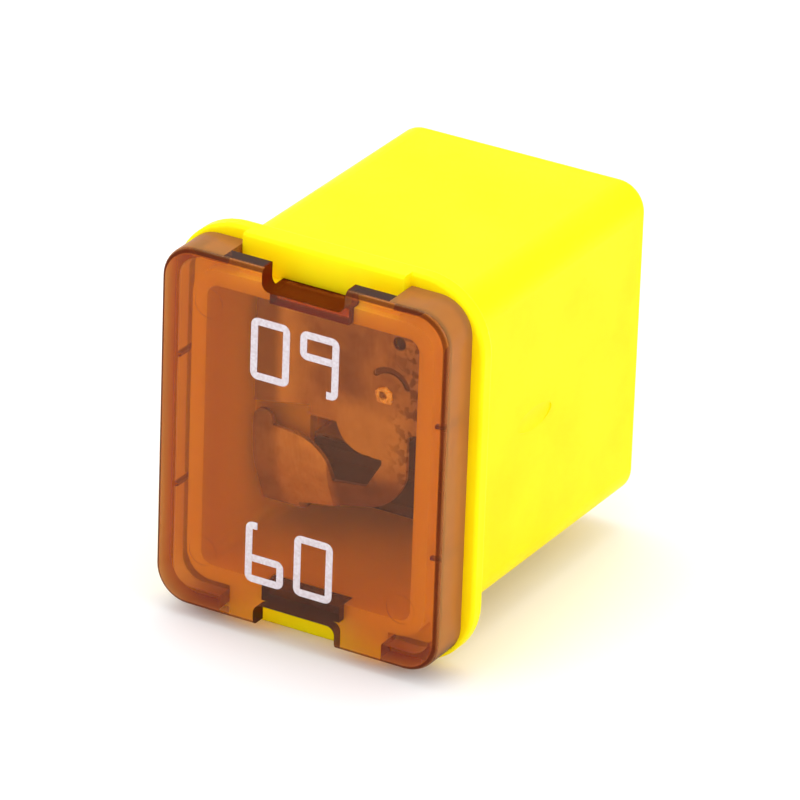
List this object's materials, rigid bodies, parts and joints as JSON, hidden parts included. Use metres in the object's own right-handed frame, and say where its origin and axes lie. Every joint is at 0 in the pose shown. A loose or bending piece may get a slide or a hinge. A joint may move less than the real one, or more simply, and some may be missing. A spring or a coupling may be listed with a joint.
{
  "type": "low profile cartridge fuse",
  "caption": "Low profile cartridge fuse: yellow flanged case, amber window cover with printed rating, copper alloy fuse element ending in sprung female blade terminals.",
  "frame": {"origin": "middle of the case's footprint as it lies on one short side, on the ground", "axes": "-Y out through the window, +Y out through the terminal face, +Z along the long side of the flange, +X across its short side"},
  "size_m": [0.0134, 0.0164, 0.0158],
  "materials": {
    "yellow_case": "satin moulded nylon",
    "amber_window": "clear amber moulded polycarbonate",
    "copper_alloy": "stamped, slightly tarnished",
    "tin": "melted bead",
    "spring_steel": "rolled strip",
    "white_ink": "pad print"
  },
  "bodies": {
    "root": {"housing": "yellow_case", "window_cover": "amber_window", "fuse_element": "copper_alloy", "tin_spot": "tin", "spring_clip_upper": "spring_steel", "spring_clip_lower": "spring_steel", "rating_print_upper": "white_ink", "rating_print_lower": "white_ink"}
  },
  "joints": []
}
